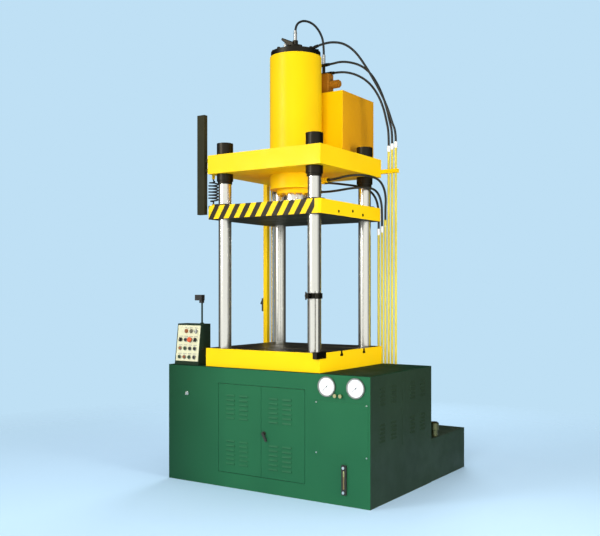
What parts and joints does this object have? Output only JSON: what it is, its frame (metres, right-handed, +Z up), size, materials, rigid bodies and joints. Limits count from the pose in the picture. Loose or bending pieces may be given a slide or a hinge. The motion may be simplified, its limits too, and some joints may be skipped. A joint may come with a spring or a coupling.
{
  "type": "hydraulic press",
  "caption": "Four-column hydraulic press: sheet-metal base cabinet, slotted bed, guided platen, overhead cylinder with filling tank, hoses, gauges and control console.",
  "frame": {"origin": "on the floor, on the ram axis, at the underside of the base plate", "axes": "+Z up along the ram axis; front faces -Y; +X to the right of someone facing the front"},
  "size_m": [1.807, 1.777, 3.6657],
  "materials": {
    "yellow_paint": "gloss machine enamel",
    "green_paint": "gloss machine enamel",
    "black_paint": "satin enamel",
    "orange_paint": "satin enamel",
    "grey_paint": "satin enamel",
    "cream_paint": "satin enamel",
    "chrome": "ground and hard-chromed",
    "black_steel": "oil-blackened",
    "bright_steel": "nickel plated",
    "brass": "turned",
    "black_rubber": "matt cover",
    "black_plastic": "moulded",
    "red_plastic": "moulded",
    "green_plastic": "moulded"
  },
  "bodies": {
    "frame": {"base_frame": "black_paint", "cabinet_shell": "green_paint", "cabinet_top": "green_paint", "oil_tank": "green_paint", "bed_table": "yellow_paint", "columns": "chrome", "column_nuts": "black_steel", "crown": "yellow_paint", "cylinder": "yellow_paint", "cylinder_head": "black_steel", "filling_tank": "yellow_paint", "tank_valve": "orange_paint", "riser_pipes": "yellow_paint", "pipe_clamp": "yellow_paint", "hose_cover_loop": "black_rubber", "hose_cover_long": "black_rubber", "hose_tee": "black_rubber", "hose_valve": "black_rubber", "hose_right_port": "black_rubber", "hose_gland_port": "black_rubber", "hose_rear_port": "black_rubber", "curly_cord": "black_rubber", "stop_rods": "black_steel", "column_clamp": "black_steel", "switch_post": "yellow_paint", "switch_rail": "black_paint", "console_body": "green_paint", "console_panel": "cream_paint", "motor": "grey_paint", "pump": "grey_paint", "manifold": "black_steel", "gauges": "bright_steel", "level_gauge": "brass", "access_panel": "green_paint"},
    "slide": {"platen": "yellow_paint", "ram": "chrome", "guide_bushes": "black_steel"},
    "door_left": {"door_left": "green_paint"},
    "door_right": {"door_right": "green_paint"},
    "door_handle": {"door_handle": "black_plastic"},
    "isolator_knob": {"isolator_knob": "bright_steel"},
    "needle_left": {"needle_left": "black_plastic"},
    "needle_right": {"needle_right": "black_plastic"},
    "valve_knob_left": {"valve_knob_left": "brass"},
    "valve_knob_right": {"valve_knob_right": "brass"},
    "key_switch": {"key_switch": "bright_steel"},
    "selector_mode": {"selector_mode": "black_plastic"},
    "selector_speed": {"selector_speed": "black_plastic"},
    "stop_button": {"stop_button": "red_plastic"},
    "clamp_handle": {"clamp_handle": "black_steel"},
    "breather_cap": {"breather_cap": "brass"},
    "coupling": {"coupling": "bright_steel"},
    "button_inch": {"button_inch": "black_plastic"},
    "button_pump_start": {"button_pump_start": "green_plastic"},
    "button_pump_stop": {"button_pump_stop": "red_plastic"},
    "button_left_cycle": {"button_left_cycle": "black_plastic"},
    "button_down": {"button_down": "green_plastic"},
    "button_pressure": {"button_pressure": "red_plastic"},
    "button_up": {"button_up": "green_plastic"},
    "button_eject": {"button_eject": "black_plastic"}
  },
  "joints": [
    {"name": "platen_travel", "type": "slide", "parent": "frame", "child": "slide", "axis": [0, 0, 1], "range_m": [-0.53, 0], "deforming": ["curly_cord"]},
    {"name": "door_left_hinge", "type": "hinge", "parent": "frame", "child": "door_left", "pos_m": [-0.359, -0.492, 0.45], "axis": [0, 0, -1], "range_deg": [0, 100]},
    {"name": "door_right_hinge", "type": "hinge", "parent": "frame", "child": "door_right", "pos_m": [0.392, -0.492, 0.45], "axis": [0, 0, 1], "range_deg": [0, 100]},
    {"name": "handle_turn", "type": "hinge", "parent": "door_right", "child": "door_handle", "pos_m": [0.052, -0.5, 0.436], "axis": [0, -1, 0], "range_deg": [0, 90]},
    {"name": "isolator_turn", "type": "hinge", "parent": "frame", "child": "isolator_knob", "pos_m": [-0.682, -0.5, 0.683], "axis": [0, 1, 0], "range_deg": [0, 90]},
    {"name": "needle_left_swing", "type": "hinge", "parent": "frame", "child": "needle_left", "pos_m": [0.592, -0.507, 0.814], "axis": [0, 1, 0], "range_deg": [0, 270], "stiffness_Nm_per_rad": 0.004},
    {"name": "needle_right_swing", "type": "hinge", "parent": "frame", "child": "needle_right", "pos_m": [0.823, -0.507, 0.814], "axis": [0, 1, 0], "range_deg": [0, 270], "stiffness_Nm_per_rad": 0.004},
    {"name": "valve_left_turn", "type": "hinge", "parent": "frame", "child": "valve_knob_left", "pos_m": [0.666, -0.515, 0.755], "axis": [0, -1, 0], "range_deg": [0, 900]},
    {"name": "valve_right_turn", "type": "hinge", "parent": "frame", "child": "valve_knob_right", "pos_m": [0.709, -0.515, 0.755], "axis": [0, -1, 0], "range_deg": [0, 900]},
    {"name": "key_turn", "type": "hinge", "parent": "frame", "child": "key_switch", "pos_m": [-0.653, -0.42797, 1.16142], "axis": [0, 0.9921, -0.1253], "range_deg": [0, 90]},
    {"name": "selector_mode_turn", "type": "hinge", "parent": "frame", "child": "selector_mode", "pos_m": [-0.803, -0.4365, 1.09396], "axis": [0, 0.9921, -0.1253], "range_deg": [-45, 45]},
    {"name": "selector_speed_turn", "type": "hinge", "parent": "frame", "child": "selector_speed", "pos_m": [-0.653, -0.4365, 1.09396], "axis": [0, 0.9921, -0.1253], "range_deg": [-45, 45]},
    {"name": "stop_push", "type": "slide", "parent": "frame", "child": "stop_button", "axis": [0, 0.9921, -0.1253], "range_m": [0, 0.005]},
    {"name": "clamp_turn", "type": "hinge", "parent": "frame", "child": "clamp_handle", "pos_m": [0.409, -0.463, 1.444], "axis": [-1, 0, 0], "range_deg": [0, 120]},
    {"name": "breather_twist", "type": "hinge", "parent": "frame", "child": "breather_cap", "pos_m": [0.89, 0.639, 0.4], "axis": [0, 0, 1], "range_deg": [0, 90]},
    {"name": "shaft_spin", "type": "hinge", "parent": "frame", "child": "coupling", "pos_m": [0.69, -0.12, 0.515], "axis": [0, 1, 0], "continuous": true},
    {"name": "button_inch_push", "type": "slide", "parent": "frame", "child": "button_inch", "axis": [0, 0.9921, -0.1253], "range_m": [0, 0.004], "stiffness_N_per_m": 500},
    {"name": "button_pump_start_push", "type": "slide", "parent": "frame", "child": "button_pump_start", "axis": [0, 0.9921, -0.1253], "range_m": [0, 0.004], "stiffness_N_per_m": 500},
    {"name": "button_pump_stop_push", "type": "slide", "parent": "frame", "child": "button_pump_stop", "axis": [0, 0.9921, -0.1253], "range_m": [0, 0.004], "stiffness_N_per_m": 500},
    {"name": "button_left_cycle_push", "type": "slide", "parent": "frame", "child": "button_left_cycle", "axis": [0, 0.9921, -0.1253], "range_m": [0, 0.004], "stiffness_N_per_m": 500},
    {"name": "button_down_push", "type": "slide", "parent": "frame", "child": "button_down", "axis": [0, 0.9921, -0.1253], "range_m": [0, 0.004], "stiffness_N_per_m": 500},
    {"name": "button_pressure_push", "type": "slide", "parent": "frame", "child": "button_pressure", "axis": [0, 0.9921, -0.1253], "range_m": [0, 0.004], "stiffness_N_per_m": 500},
    {"name": "button_up_push", "type": "slide", "parent": "frame", "child": "button_up", "axis": [0, 0.9921, -0.1253], "range_m": [0, 0.004], "stiffness_N_per_m": 500},
    {"name": "button_eject_push", "type": "slide", "parent": "frame", "child": "button_eject", "axis": [0, 0.9921, -0.1253], "range_m": [0, 0.004], "stiffness_N_per_m": 500}
  ]
}
